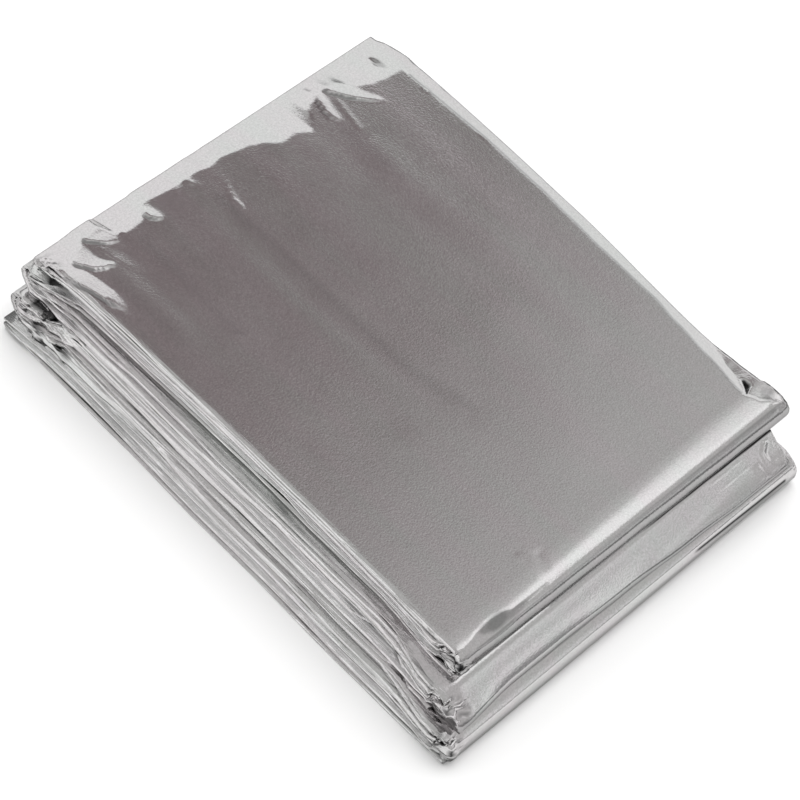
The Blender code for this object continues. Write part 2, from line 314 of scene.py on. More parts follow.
# Places where one long edge of a pass is drawn in, or let out by a negative
# inset. On the left, edge 0 is the cut edge, and 1 and 2 are the layer turns
# next to it. Edge 10 is the first layer turn on the right.
Slot = namedtuple("Slot", "passage edge x_from x_to inset")
SLOTS = (
    Slot(1, 2, -60.0, -45.0, 1.8),
    Slot(1, 2, 1.0, 13.0, 0.9),
    Slot(1, 1, 7.0, 16.0, 0.7),
    Slot(2, 1, -40.0, -10.0, 0.5),
    Slot(2, 2, 10.0, 44.0, 0.5),
    Slot(3, 2, 41.0, 53.0, 1.7),
    Slot(3, 0, 50.0, 58.0, 1.6),
    Slot(4, 1, -24.0, 50.0, 0.7),
    Slot(4, 2, -40.0, -20.0, 0.9),
    Slot(0, 10, -64.5, -53.0, -0.9),
)
SLOT_END = 3.0  # a slot opens and closes over this length
TURN_RECESS = 1.2  # how far the inner layers of a turn lie in from its left end

TURN_FLARES = (1.5, 0.0, 0.0)  # how far a front turn's right end stands out
END_CURL = 2.0  # film drawn in over the left end of a front turn
END_PULL = 0.85  # and how far it closes that end,
END_START = 0.18  # from this share of the turn on,
END_STOP = 0.92  # up to this one,
END_EASE = 0.14  # easing over this one

RIPPLES = 26.0  # fine creases along a front turn, over its half round
RIPPLE_STARTS = (0.34, 0.9, 0.4)  # share of each turn at which they start
RIPPLE_LENGTH = 45.0
RIPPLE_HEIGHT = 0.07
RIPPLE_EDGE = 10.0  # how sharply they start

# Crumpled corners: centre, radius, how far the film is pushed about, and how much painted shade its
# spots have.
Crumple = namedtuple("Crumple", "x y z radius amount spots")
CRUMPLES = (
    Crumple(-61.5, -49.5, 20.0, 6.5, 0.7, 1.0),
    Crumple(-56.5, -52.5, 9.5, 9.5, 1.1, 1.0),
    Crumple(63.0, -49.5, 21.0, 5.0, 0.8, 1.0),
    Crumple(68.5, -53.5, 13.0, 5.5, 0.9, 0.8),
    Crumple(70.5, -57.0, 5.0, 6.0, 0.8, 1.0),
    Crumple(62.0, 50.0, 22.0, 4.0, 0.4, 0.0),
)
CRUMPLE_SIZE = 2.2
CRUMPLE_HEART = 1.6  # over 1, a crumple is whole near its centre
FINE_CRUMPLE = 0.6  # share of a second crumpling,
FINE_SCALE = 3.1  # this many times finer
FULL_PUSH_HEIGHT = 6.0  # lower than this, film is pushed up and down less
# Where in the noise each direction of the push is read. Fixed, so that the
# corners are the same each run.
PUSH_SHIFTS = ((3.7, 9.1, 2.2), (61.3, 12.8, 44.5), (27.9, 73.1, 19.6))
SPOT_SIZE = 1.1  # of the small spots of painted shade in a crumpled corner,
SPOT_SHARPNESS = 9.0
SPOT_RARITY = 1.7  # the higher, the fewer of them

# Film inside the pad gets painted shade, for the shade in the gaps between its
# layers: how far in from the long edges and the back end it starts to be so.
OPEN_SIDE = 1.3
COVERED_SIDE = 0.4  # how far in it is dark from the edge of a packet over it,
COVERED_FRONT = 0.8  # and out from the start of that packet's front turn
DARKENING = 1.0

# The shadowed slit over the second and third front turns, drawn as darkness:
# film behind an x, which leans with y, is dark by an amount. To the left of a
# place the slit is closed, and only the closed amount is left.
Shadow = namedtuple("Shadow", "x lean closed_left_of closed_amount y_to amount")
SHADOW_LINES = (
    None,
    Shadow(63.95, 0.85, -20.0, 0.0, 51.0, 1.0),
    Shadow(69.7, 0.8, -51.0, 0.1, 48.5, 0.4),
)

# Painted shade over part of the run of each front turn's outer film.
TurnShade = namedtuple("TurnShade", "start end amount")
TURN_SHADE_EDGE = 45.0  # how sharply it starts and stops
TURN_SHADES = (TurnShade(0.30, 0.55, 0.36), TurnShade(0.46, 0.6, 0.42), TurnShade(0.6, 0.9, 0.1))

# Mesh density
Zone = namedtuple("Zone", "across_from across_to along_from along_to cuts rows_only",
                  defaults=(False,))
OUTER_LAYER_STEPS = 38
INNER_LAYER_STEPS = 7
LAYER_TURN_STEPS = 6
TOP_PASS_STEPS = 30
PASS_STEPS = 21
FRONT_TURN_STEPS = 14
BACK_TURN_STEPS = 6
EDGE_CROWDING = 0.6
ACROSS_CROWDING = 0.85
# Where the grid is cut finer: over the outer film of the top pass and of the
# front turns, and at the left layer turns near the ends of the pad.
FINE_ZONES = (
    Zone(0.0, 1.0, 0.0, 2.0, 1),
    Zone(0.0, 1.0, 0.0, 0.155, 2),
    Zone(0.0, 1.0, 0.155, 0.2, 1),
    Zone(0.91, 0.985, 0.155, 0.96, 1),
    Zone(0.0, 1.0, 0.9, 1.6, 1),
    Zone(0.0, 1.0, 5.0, 5.6, 1),
    Zone(0.0, 1.0, 9.0, 9.6, 1),
    Zone(0.0, 1.0, 5.14, 5.36, 3, rows_only=True),
    Zone(0.0, 1.0, 9.14, 9.5, 2, rows_only=True),
    Zone(0.0, 0.1, 4.85, 5.1, 3),
    Zone(2.9, 4.1, 0.0, 0.1, 1),
    Zone(2.9, 4.1, 0.9, 2.1, 1),
    Zone(2.9, 4.1, 4.9, 6.1, 1),
    Zone(2.9, 4.1, 8.9, 10.1, 1),
    Zone(6.9, 8.1, 4.9, 6.1, 1),
    Zone(6.9, 8.1, 8.9, 10.1, 1),
    Zone(2.9, 4.1, 6.85, 8.15, 1),
    Zone(6.9, 8.1, 6.85, 8.15, 1),
)
PLEATED_EDGE = 1.6  # the film is finely pleated up to this far from its folds
SEAM = 1e-4  # slack for a point on a zone's border

# Film colours and gloss
FILM_TINTS = ((0.36, (0.618, 0.624, 0.616, 1.0)), (0.62, (0.634, 0.614, 0.62, 1.0)))
# colour of the painted shade, mixed in by the "inside" attribute
PAINTED_SHADE_COLOUR = (0.02, 0.02, 0.02)
ROUGHNESS = (0.10, 0.18)

# Studio
CAMERA_AZIMUTH = 32.844
CAMERA_ELEVATION = 54.523
CAMERA_ROLL = 14.924
CAMERA_DISTANCE = 642.6
CAMERA_ASIDE = -2.6
CAMERA_RISE = -14.56
SENSOR = 36.0
LENS = 135.0

# The studio, one field laid over another: the direction of each field's middle,
# how far out from it the field is full and where it ends, in degrees, and its
# light. An outer field lies outside that circle. The softbox shows only inside
# its cut.
Field = namedtuple("Field", "azimuth elevation full ends light outer", defaults=(False,))
SOFTBOX_CUT = Field(130.0, 60.0, 41.0, 43.0, None)
SOFTBOX = Field(62.0, 60.0, 8.0, 25.0, (1.25, 1.25, 1.25))
FIELDS = (
    Field(140.0, 48.0, 8.0, 18.5, (0.24, 0.2, 0.205)),
    Field(31.0, 25.0, 3.0, 11.0, (0.9, 0.9, 0.9)),
    Field(-30.0, 70.5, 58.5, 62.0, (0.16, 0.15, 0.15), outer=True),
    Field(-30.0, 70.5, 61.2, 63.2, (1.07, 1.07, 1.07), outer=True),
    SOFTBOX,
    Field(0.0, 90.0, 76.0, 81.0, (0.32, 0.32, 0.32), outer=True),
    Field(-108.0, 12.0, 10.0, 16.0, (1.3, 1.3, 1.3)),
)
CEILING_LIGHT = (0.62, 0.615, 0.61)
BACKDROP_LIGHT = (0.92, 0.92, 0.92)
LAMP_PLACE = Vector((-0.2, 0.3, 1.5))


def mix(start, end, share):
    """The value a share of the way from start to end."""
    return start + (end - start) * share


def smooth(value):
    """Ease from 0 to 1, flat at both ends."""
    value = min(max(value, 0.0), 1.0)
    return value * value * (3.0 - 2.0 * value)


def along_knots(knots, values, place):
    """Smooth curve through values at knots, read at a place."""
    for index in range(len(knots) - 1):
        if place <= knots[index + 1]:
            share = (place - knots[index]) / (knots[index + 1] - knots[index])
            return mix(values[index], values[index + 1], smooth(share))
    return values[-1]


def rough_line(place, length, key):
    """Even noise from -1 to 1 along a line, another for each key."""
    return noise.noise(Vector((place / length, 7.31 * key + 0.5, 3.17 * key)))


Across = namedtuple("Across", "unit layer angle")
Along = namedtuple("Along", "passage share angle")


def across_station(place):
    """Layer and place in it, or turn and angle in it, of a grid coordinate."""
    segment = min(int(place + SEAM), 2 * LAYERS - 2)
    share = min(max(place - segment, 0.0), 1.0)
    layer = segment // 2
    side = 1.0 if layer % 2 == 0 else -1.0
    if segment % 2 == 0:
        return Across(side * (2.0 * share - 1.0), layer, None)
    return Across(side, layer, math.pi * share)


def along_station(place):
    """Pass and place in it, or turn and angle in it, of a grid coordinate."""
    segment = min(int(place + SEAM), 2 * PASSES - 2)
    share = min(max(place - segment, 0.0), 1.0)
    passage = segment // 2
    forward = passage % 2 == 0
    if segment % 2 == 0:
        return Along(passage, share if forward else 1.0 - share, None)
    return Along(passage, float(forward), math.pi * share)


def fold_pair(passage):
    """The back fold and the front fold that a pass runs between."""
    return BACK_FOLDS[(passage + 1) // 2], FRONT_FOLDS[passage // 2]


def pass_floor(passage, share):
    """Height of a pass's lower face."""
    height = 0.0
    for below in range(passage, PASSES - 1):
        gap = PASS_GAPS[below]
        height += STRIP_HEIGHT + mix(gap.back, gap.front, share)
    return height


def layer_share(layer, passage, share):
    """Where a layer lies in its pass: 0 is the outer face, 1 the inner one."""
    back = (0.0, *BACK_SPREADS[passage], 1.0)
    front = (0.0, *FRONT_SPREADS[passage], 1.0)
    return mix(back[layer], front[layer], share)


def turned(along):
    """How far a station's turn has gone from its pass to the next."""
    return 0.0 if along.angle is None else smooth(along.angle / math.pi)


def depth_share(across, along):
    """Depth of a station under the strip's outer face, as a share."""
    def of_layer(layer):
        here = layer_share(layer, along.passage, along.share)
        if along.angle is None:
            return here
        return mix(here, layer_share(layer, along.passage + 1, along.share), turned(along))
    upper = of_layer(across.layer)
    if across.angle is None:
        return upper
    lower = of_layer(across.layer + 1)
    return mix(upper, lower, (1.0 - math.cos(across.angle)) / 2.0)


def side_line(passage, right, share, deep):
    """A pass's long edge at a share of its length and a share of its depth."""
    back, front = fold_pair(passage)
    side = (RIGHT_SIDES if right else LEFT_SIDES)[passage]
    ends = (back.right, front.right) if right else (back.left, front.left)
    knots = (ends[0], side.near_back, side.middle, side.near_front, ends[1])
    middle_share = smooth(min(share, 1.0 - share) / SIDE_SHARES[1])
    low = deep if passage % 2 == 0 else 1.0 - deep
    outwards = side.lean * (low - 0.5) * middle_share
    return along_knots(SIDE_SHARES, knots, share) + (outwards if right else -outwards)


def edge_share(across):
    """0 over the middle of the strip, growing to 1 at its long edges."""
    return max((abs(across.unit) - EDGE_ZONE) / (1.0 - EDGE_ZONE), 0.0)


def edge_sway(across, passage, share):
    """Uneven run of one long edge of one layer or layer turn."""
    edge = (across.layer + 1) // 2 if across.unit < 0 else across.layer // 2 + 10
    key = 3 * passage + edge
    run = share * PASS_LENGTH
    sway = SWAY * rough_line(run, SWAY_LENGTH, key)
    if across.unit < 0:
        to_end = min(run, PASS_LENGTH - run)
        near_end = 1.0 - smooth(to_end / END_REACH)
        sway += END_SWAY * near_end * rough_line(run, END_SWAY_LENGTH, key + 40)
    for slot in SLOTS:
        if slot.passage == passage and slot.edge == edge:
            inside = min(run - PASS_START - slot.x_from, slot.x_to - run + PASS_START)
            sway -= slot.inset * smooth(inside / SLOT_END)
    return sway


def turn_recess(across, along):
    """How far an inner layer lies in from the left end of a turn."""
    if along.angle is None or across.unit > 0 or across.layer == 0:
        return 0.0
    return TURN_RECESS * math.sin(along.angle) ** 0.5 * edge_share(across)


def turn_flare(across, along):
    """How far a front turn's right end stands out."""
    if along.angle is None or across.unit < 0 or along.passage % 2:
        return 0.0
    flare = TURN_FLARES[along.passage // 2]
    return flare * math.sin(along.angle) ** 0.7 * edge_share(across)


def place_sideways(across, along, deep, bulge):
    """Place over the pad's width."""
    def of_pass(passage):
        left = side_line(passage, False, along.share, deep)
        right = side_line(passage, True, along.share, deep)
        outwards = edge_sway(across, passage, along.share) * edge_share(across)
        side = math.copysign(1.0, across.unit)
        half_width = (right - left) / 2 - FILM / 2
        outwards += bulge - turn_recess(across, along) + turn_flare(across, along)
        return (left + right) / 2 + across.unit * half_width + side * outwards
    here = of_pass(along.passage)
    if along.angle is None:
        return here
    return mix(here, of_pass(along.passage + 1), turned(along))


def layer_bulge(across, along):
    """How far a layer turn stands out past the end of its layers."""
    if across.angle is None:
        return 0.0
    upper = layer_share(across.layer, along.passage, along.share)
    lower = layer_share(across.layer + 1, along.passage, along.share)
    reach = EDGE_BULGE * (lower - upper) * STRIP_HEIGHT / 2
    run = (along.passage + along.share) * PASS_LENGTH / PLEAT_LENGTH
    key = 10.0 * across.layer + across.unit
    pleat = PLEAT_HEIGHT * noise.noise(Vector((across.angle * PLEATS, run, key)))
    return min(reach, MOST_BULGE) * (math.sin(across.angle) - 1.0) + pleat * math.sin(across.angle)


def bend_curve(bends):
    """Points of a front turn's outer layer, evenly along it: out and fall."""
    step = bends[-1][0] / BEND_STEPS
    out, fall = 0.0, 0.0
    points = [(out, fall)]
    knots = iter(bends[1:])
    (from_length, from_tilt), (to_length, to_tilt) = bends[0], next(knots)
    for index in range(BEND_STEPS):
        length = (index + 0.5) * step
        while length > to_length:
            from_length, from_tilt = to_length, to_tilt
            to_length, to_tilt = next(knots)
        share = (length - from_length) / (to_length - from_length)
        tilt = math.radians(mix(from_tilt, to_tilt, share))
        out += math.cos(tilt) * step
        fall += math.sin(tilt) * step
        points.append((out, fall))
    last_out, last_fall = points[-1]
    return [(out - last_out * index / BEND_STEPS, fall / last_fall)
            for index, (out, fall) in enumerate(points)]


FRONT_CURVES = [bend_curve(bends) for bends in FRONT_BENDS]
FURTHEST = [max(out for out, fall in curve) for curve in FRONT_CURVES]


def front_bend(passage, share):
    """Outer layer of a front turn at a share of its run: out and fall."""
    curve = FRONT_CURVES[passage // 2]
    index = min(int(share * BEND_STEPS), BEND_STEPS - 1)
    part = share * BEND_STEPS - index
    return [mix(start, end, part) for start, end in zip(curve[index], curve[index + 1])]


def place_lengthways(across, along, depth):
    """Place over the pad's length, and height before the top's relief."""
    passage = along.passage
    forward = passage % 2 == 0
    back, front = fold_pair(passage)
    x = mix(back.x, front.x, along.share)
    floor = pass_floor(passage, along.share)
    over = STRIP_HEIGHT - depth if forward else depth
    if along.angle is None:
        return x, floor + over
    gap = PASS_GAPS[passage]
    half_gap = (gap.front if forward else gap.back) / 2
    radius = over + half_gap
    if not forward:
        x += back.lean * across.unit / 2
        x -= BACK_REACH * radius / (STRIP_HEIGHT + half_gap) * math.sin(along.angle)
        return x, floor - half_gap + radius * math.cos(along.angle)
    out, fall = front_bend(passage, along.angle / math.pi)
    y = across.unit * SHIFT_PLACES[-1]
    shift = along_knots(SHIFT_PLACES, FRONT_SHIFTS[passage // 2], y)
    if passage == 0 and 0.0 < out < ONSET_REACH and along.angle < math.pi / 2:
        onset = along_knots(SHIFT_PLACES, ONSET_SHIFTS, y)
        out += onset * math.sin(math.pi * out / ONSET_REACH)
    out += shift * (out / FURTHEST[passage // 2]) ** SHIFT_POWER
    x += out * radius / (STRIP_HEIGHT + half_gap)
    return x, floor - half_gap + radius * (1.0 - 2.0 * fall)


def drawn_in(across, along, x, y, z):
    """The outer film of a front turn, drawn in over the turn's left end."""
    reach = (across.unit + 1.0) * HALF_WIDTH
    if reach >= 2.0 * END_CURL:
        return x, y, z
    front = fold_pair(along.passage)[1]
    middle = pass_floor(along.passage, along.share) - PASS_GAPS[along.passage].front / 2
    share = along.angle / math.pi
    weight = smooth((min(share, END_STOP - share) - END_START) / END_EASE)
    pull = END_PULL * weight * max(1.0 - reach / END_CURL, 0.0)
    y += weight * (max(2.0 * (reach - END_CURL), 0.0) - reach)
    return mix(x, front.x, pull), y, mix(z, middle, pull)


def crease_height(crease, x, y):
    """Height of one soft trough or ridge."""
    nearest = math.inf
    for (x1, y1), (x2, y2) in zip(crease.points, crease.points[1:]):
        run_x, run_y = x2 - x1, y2 - y1
        share = ((x - x1) * run_x + (y - y1) * run_y) / (run_x ** 2 + run_y ** 2)
        share = min(max(share, 0.0), 1.0)
        distance = math.hypot(x - x1 - share * run_x, y - y1 - share * run_y)
        nearest = min(nearest, distance)
    return crease.height * smooth(1.0 - nearest / (2.0 * crease.half_width))


def wrinkle_profile(wrinkle, x, y):
    """Height of one wrinkle of the back edge, and how far a point is on its step."""
    knots = wrinkle.knots
    first_x, _, first_width = knots[0]
    root = WRINKLE_ROOT + ROOT_LENGTH * wrinkle.slope * first_width
    if x >= knots[-1][0] or x < first_x - root:
        return 0.0, 0.0
    fade = smooth((x - first_x + root) / root)
    for (x1, y1, width1), (x2, y2, width2) in zip(knots, knots[1:]):
        if x <= x2:
            break
    share = max((x - x1) / (x2 - x1), 0.0)
    width = max(mix(width1, width2, share), THINNEST_WRINKLE)
    offset = y - mix(y1, y2, share)
    height = wrinkle.slope * width * fade
    part = 0.5 - offset / width
    edge = WRINKLE_EDGE
    if part <= 0.0:
        return 0.0, 0.0
    if part < edge:
        return height * part * part / (2.0 * edge), 0.0
    if part < 1.0 - edge:
        return height * (part - edge / 2.0), 0.0
    crest = 1.0 - edge
    if part < 1.0:
        return height * (crest - (1.0 - part) ** 2 / (2.0 * edge)), 0.0
    beyond = -offset - width / 2
    on_step = smooth((WRINKLE_STEP + STEP_SHADE_REACH - beyond) / STEP_SHADE_EASE)
    on_step *= smooth((height - STEP_SHADE_FROM) / STEP_SHADE_GROWTH)
    return height * crest * smooth(1.0 - beyond / WRINKLE_STEP), on_step


def dent_height(dent, x, y):
    """Height of one small dent or bump."""
    distance = math.hypot((x - dent.x) / dent.half_x, (y - dent.y) / dent.half_y)
    return dent.height * smooth(1.0 - distance)


def back_boundary(y):
    """x at which the top face starts to fall to the back edge."""
    places, starts = zip(*BACK_BOUNDARY)
    return along_knots(places, starts, max(y, places[0]))


def back_fall(x, y):
    """Fall of the top face to the pad's back edge."""
    start = back_boundary(y)
    into = start - x
    if into <= -BAND_SOFTNESS:
        return 0.0
    length = start - BACK_FOLDS[0].x
    slope = min(BACK_DROP / length, BACK_SLOPE)
    if into < BAND_SOFTNESS:
        run = (into + BAND_SOFTNESS) ** 2 / (4.0 * BAND_SOFTNESS)
    else:
        run = into
    return -slope * run


def right_fall(x, y, right):
    """Fall of the top face to the pad's right edge."""
    start = along_knots(RIGHT_FALL_PLACES, RIGHT_FALL_STARTS, max(x, RIGHT_FALL_PLACES[0]))
    end = max(right, start + 1.0)
    furthest = math.inf
    if x > SHELF_PLACES[0]:
        end = along_knots(SHELF_PLACES, SHELF_STARTS, x)
        furthest = end - start
    slope = min(RIGHT_DROP / (end - start), RIGHT_SLOPE)
    into = y - start
    soft = min(BAND_SOFTNESS, (end - start) / 2)
    if into <= -soft:
        return 0.0
    if into < soft:
        return -slope * (into + soft) ** 2 / (4.0 * soft)
    return -slope * min(into, furthest)


def sag(x, y, z, share):
    """Fall of the upper layers to the back edge and to the right edge."""
    right = side_line(0, True, share, 0.0)
    weight = min(max(1.0 - (TOP_HEIGHT - z) / SAG_DEPTH, 0.0), 1.0)
    return -weight * math.hypot(back_fall(x, y), right_fall(x, y, right))


def in_hole(x, y):
    """How far inside the hole a point is, negative outside it."""
    nearest = math.inf
    for (x1, y1), (x2, y2) in zip(HOLE, HOLE[1:] + HOLE[:1]):
        length = math.hypot(x2 - x1, y2 - y1)
        nearest = min(nearest, ((x - x1) * (y2 - y1) - (y - y1) * (x2 - x1)) / length)
    return nearest


def hollow_height(x, y, height):
    """Height of the front roll where the hollow is pressed into it."""
    if not HOLLOW_PLACES[0] < y < HOLLOW_PLACES[-1]:
        return height
    start = along_knots(HOLLOW_PLACES, HOLLOW_STARTS, y)
    return min(height, -HOLLOW_SLOPE * (x - start)) if x > start else height


def surface_relief(x, y, share, to_left, to_right):
    """Wrinkles and creases of the uppermost layer of film."""
    height = sum(wrinkle_profile(wrinkle, x, y)[0] for wrinkle in WRINKLES)
    inside = smooth(min(to_left, to_right) / QUIET_EDGE) * smooth((1.0 - share) * 16.0)
    height += sum(crease_height(crease, x, y) for crease in CREASES) * inside
    streak = noise.noise(Vector((x / STREAK_LENGTH, y / STREAK_WIDTH, 0.3)))
    height += STREAK_HEIGHT * streak * inside * smooth((STREAKS_FROM - x) / STREAKS_EASE)
    height += sum(crease_height(crease, x, y) for crease in PINCHES)
    height += sum(dent_height(dent, x, y) for dent in DENTS)
    height -= HOLE_DEPTH * smooth(in_hole(x, y) / HOLE_EASE)
    if to_left < LEFT_ROLL:
        height -= LEFT_ROLL_DROP * min(1.0 - to_left / LEFT_ROLL, 1.0) ** 3
    return height


def noise_push(place):
    """A push whose direction varies smoothly from place to place."""
    return Vector([noise.noise(place + Vector(shift)) for shift in PUSH_SHIFTS])


def crumpled(point):
    """How far the crumpled corners push a point, and how much painted shade it has there."""
    weight = 0.0
    spots = 0.0
    for crumple in CRUMPLES:
        centre = Vector((crumple.x, crumple.y, crumple.z))
        near = smooth(CRUMPLE_HEART - CRUMPLE_HEART * (point - centre).length / crumple.radius)
        weight = max(weight, crumple.amount * near)
        spots = max(spots, crumple.spots * near)
    if weight == 0.0:
        return Vector(), 0.0
    push = noise_push(point / CRUMPLE_SIZE) * weight
    push += noise_push(FINE_SCALE * point / CRUMPLE_SIZE) * weight * FINE_CRUMPLE
    push.z *= min(1.0, point.z / FULL_PUSH_HEIGHT)
    return push, spots * smooth(SPOT_SHARPNESS * noise.noise(point / SPOT_SIZE) - SPOT_RARITY)


def rippled(along, x, y, z):
    """Fine creases that run along a front turn."""
    share = along.angle / math.pi
    place = Vector((share * RIPPLES, y / RIPPLE_LENGTH, along.passage + 0.5))
    start = RIPPLE_STARTS[along.passage // 2]
    height = RIPPLE_HEIGHT * noise.noise(place) * smooth((share - start) * RIPPLE_EDGE)
    tilt = along.angle
    return x + height * math.sin(tilt), z + height * math.cos(tilt)


def turn_shade(along):
    """How much painted shade the outer film of a front turn has."""
    shade_band = TURN_SHADES[along.passage // 2]
    share = along.angle / math.pi
    return shade_band.amount * smooth(min(share - shade_band.start, shade_band.end - share) * TURN_SHADE_EDGE)


def painted_shade(across, along, x, y, depth):
    """How much painted shade the film has, from 0 to 1: deep in the pad, where its gaps are in shade,
    and at the marks set in the tables.
    """
    outer = across.layer == 0
    turning = along.angle is not None
    if outer and along.passage == 0:
        # painted shade of the top face and its roll: in the hole, in the ovals, along the streaks and
        # the right fold, over the turn, and on the wrinkles' steps
        shades = [smooth(in_hole(x, y) / HOLE_DARK_EASE)]
        for shade in SHADES:
            distance = math.hypot((x - shade.x) / shade.half_x, (y - shade.y) / shade.half_y)
            shades.append(shade.amount * smooth(2.0 - 1.5 * distance))
        shades += [crease_height(streak, x, y) for streak in SHADE_STREAKS]
        if RIGHT_LINE_START < x < RIGHT_LINE_END:
            line = along_knots(RIGHT_FALL_PLACES, RIGHT_FALL_STARTS, x)
            shades.append(RIGHT_FOLD_SHADE * smooth(1.0 - abs(y - line) / RIGHT_LINE_WIDTH))
        if turning:
            shades.append(turn_shade(along))
        inwards = smooth(x - back_boundary(y) + 0.5)
        on_step = max(wrinkle_profile(wrinkle, x, y)[1] for wrinkle in WRINKLES)
        shades.append(STEP_SHADE * on_step * inwards)
        return max(shades)
    # painted shadow of the slits over the lower front turns, and painted shade over the turns
    if outer and turning and along.passage % 2 == 0:
        shadow = SHADOW_LINES[along.passage // 2]
        if along.angle > math.pi / 2:
            return turn_shade(along)
        start = shadow.x + shadow.lean * y / 50.0
        closed = smooth((shadow.closed_left_of - y) / 4.0)
        amount = mix(shadow.amount, shadow.closed_amount, closed)
        slit = amount * smooth((start - x) / 0.15) * smooth(shadow.y_to - y)
        if along.passage == THIRD_TURN_PASS:
            slit = max(slit, crease_height(THIRD_TURN_SLIT_SHADOW, x, y))
        return max(slit, turn_shade(along))
    if turning:
        return 0.0
    # painted shade of film deep in the pad, where the gaps between layers are in shade
    left = side_line(along.passage, False, along.share, depth)
    right = side_line(along.passage, True, along.share, depth)
    deep = min(y - left - OPEN_SIDE, right - y - OPEN_SIDE)
    back = fold_pair(along.passage)[0]
    deep = min(deep, x - back.x - OPEN_SIDE)
    if outer and along.passage % 2 == 0:
        cover = side_line(along.passage - 1, False, along.share, 1.0)
        over_front = fold_pair(along.passage - 1)[1].x + COVERED_FRONT
        deep = min(deep, y - cover - COVERED_SIDE, over_front - x)
    return smooth(deep / DARKENING)


def tucked(x, y, z):
    """Height of the ledge of the third pass, with its tuck and its fall."""
    left_by = along_knots(TUCK_PLACES, TUCK_LINE, max(x, TUCK_PLACES[0])) - y
    step = smooth(left_by / TUCK_WIDTH) * smooth((x - TUCK_PLACES[0]) / TUCK_EASE)
    past = max(LEDGE_FALL_Y - y, 0.0) * smooth((x - LEDGE_FALL_X) / LEDGE_FALL_EASE)
    return z - TUCK_STEP * step - LEDGE_FALL * past


def place(across_place, along_place):
    """Point of the film at a pair of grid coordinates, its painted shade, and how pleated it is."""
    across = across_station(across_place)
    along = along_station(along_place)
    outer = across.layer == 0
    top = outer and along.passage == 0
    turning = along.angle is not None
    front_turn = turning and along.passage % 2 == 0
    flat_outer = across_place <= 1.0
    deep = depth_share(across, along)
    depth = FILM / 2 + deep * (STRIP_HEIGHT - FILM)
    y = place_sideways(across, along, deep, layer_bulge(across, along))
    x, z = place_lengthways(across, along, depth)
    if front_turn and flat_outer:
        x, y, z = drawn_in(across, along, x, y, z)
    # painted shade of the point, from its place in the pad and the marks of the tables
    dark = painted_shade(across, along, x, y, deep)
    fall = sag(x, y, z, along.share)
    if top:
        to_left = y - side_line(0, False, along.share, 0.0)
        to_right = side_line(0, True, along.share, 0.0) - y
        relief = surface_relief(x, y, along.share, to_left, to_right)
        if turning:
            relief *= math.cos(along.angle / 2.0) ** 2
        if across.angle is not None:
            relief *= (1.0 + math.cos(across.angle)) / 2.0
        z += relief
    if front_turn and outer:
        x, z = rippled(along, x, y, z)
    if turning and outer and along.passage == SECOND_TURN_PASS:
        z += sum(crease_height(crease, x, y) for crease in SECOND_TURN_RIDGES)
    if flat_outer and along.passage == SECOND_TURN_PASS and y < 0.0:
        z = tucked(x, y, z)
    if top and x > min(HOLLOW_STARTS):
        z = TOP_HEIGHT + hollow_height(x, y, z - TOP_HEIGHT)
    point = Vector((x, y, z + fall))
    push, shade_spot = crumpled(point)
    to_edge = (1.0 - abs(across.unit)) * HALF_WIDTH
    pleated = 0.0 if top and across.unit > 0.0 else smooth(PLEATED_EDGE - to_edge)
    return point + push, max(dark, shade_spot), pleated


def crowded(step, steps, crowding):
    """Share of a step, with shorter steps at both ends."""
    even = 2.0 * step / steps - 1.0
    return (even + crowding * math.sin(math.pi * even) / math.pi + 1.0) / 2.0


def grid_places(segment_steps, crowding):
    """Grid coordinates with that many steps in each unit of length."""
    places = [0.0]
    for segment, steps in enumerate(segment_steps):
        for step in range(1, steps + 1):
            share = step / steps
            if segment % 2 == 0:
                share = crowded(step, steps, crowding if segment else EDGE_CROWDING)
            places.append(segment + share)
    return places


def flat_grid():
    """The sheet laid flat: x is the place across, y the place along."""
    across_steps = [OUTER_LAYER_STEPS]
    for _ in range(LAYERS - 1):
        across_steps += [LAYER_TURN_STEPS, INNER_LAYER_STEPS]
    along_steps = [TOP_PASS_STEPS]
    for passage in range(PASSES - 1):
        turn = FRONT_TURN_STEPS if passage % 2 == 0 else BACK_TURN_STEPS
        along_steps += [turn, PASS_STEPS]
    columns = grid_places(across_steps, ACROSS_CROWDING)
    rows = grid_places(along_steps, EDGE_CROWDING)
    mesh = bmesh.new()
    last_column = len(columns) - 1
    last_row = len(rows) - 1
    bmesh.ops.create_grid(mesh, x_segments=last_column, y_segments=last_row, size=1.0)
    for vertex in mesh.verts:
        column = round((vertex.co.x + 1.0) / 2.0 * last_column)
        row = round((vertex.co.y + 1.0) / 2.0 * last_row)
        vertex.co = (columns[column], rows[row], 0.0)
    return mesh


def refine(mesh, zone):
    """Cut the grid finer inside one zone."""
    def inside(vertex):
        across, along, _ = vertex.co
        return (zone.across_from - SEAM <= across <= zone.across_to + SEAM
                and zone.along_from - SEAM <= along <= zone.along_to + SEAM)
    edges = [edge for edge in mesh.edges if all(inside(vertex) for vertex in edge.verts)]
    if zone.rows_only:
        edges = [edge for edge in edges
                 if abs(edge.verts[0].co.x - edge.verts[1].co.x) < SEAM]
    bmesh.ops.subdivide_edges(mesh, edges=edges, cuts=zone.cuts, use_grid_fill=True)


def add_node(tree, kind, inputs, **settings):
    """A shader node with settings, and inputs that are linked or set to values."""
    node = tree.nodes.new("ShaderNode" + kind)
    for name, value in settings.items():
        setattr(node, name, value)
    feed(tree, node, inputs)
    return node


def feed(tree, node, inputs):
    """Link a node's inputs to outputs, or set them to plain values."""
    for key, value in inputs.items():
        if isinstance(value, bpy.types.NodeSocket):
            tree.links.new(value, node.inputs[key])
        else:
            node.inputs[key].default_value = value


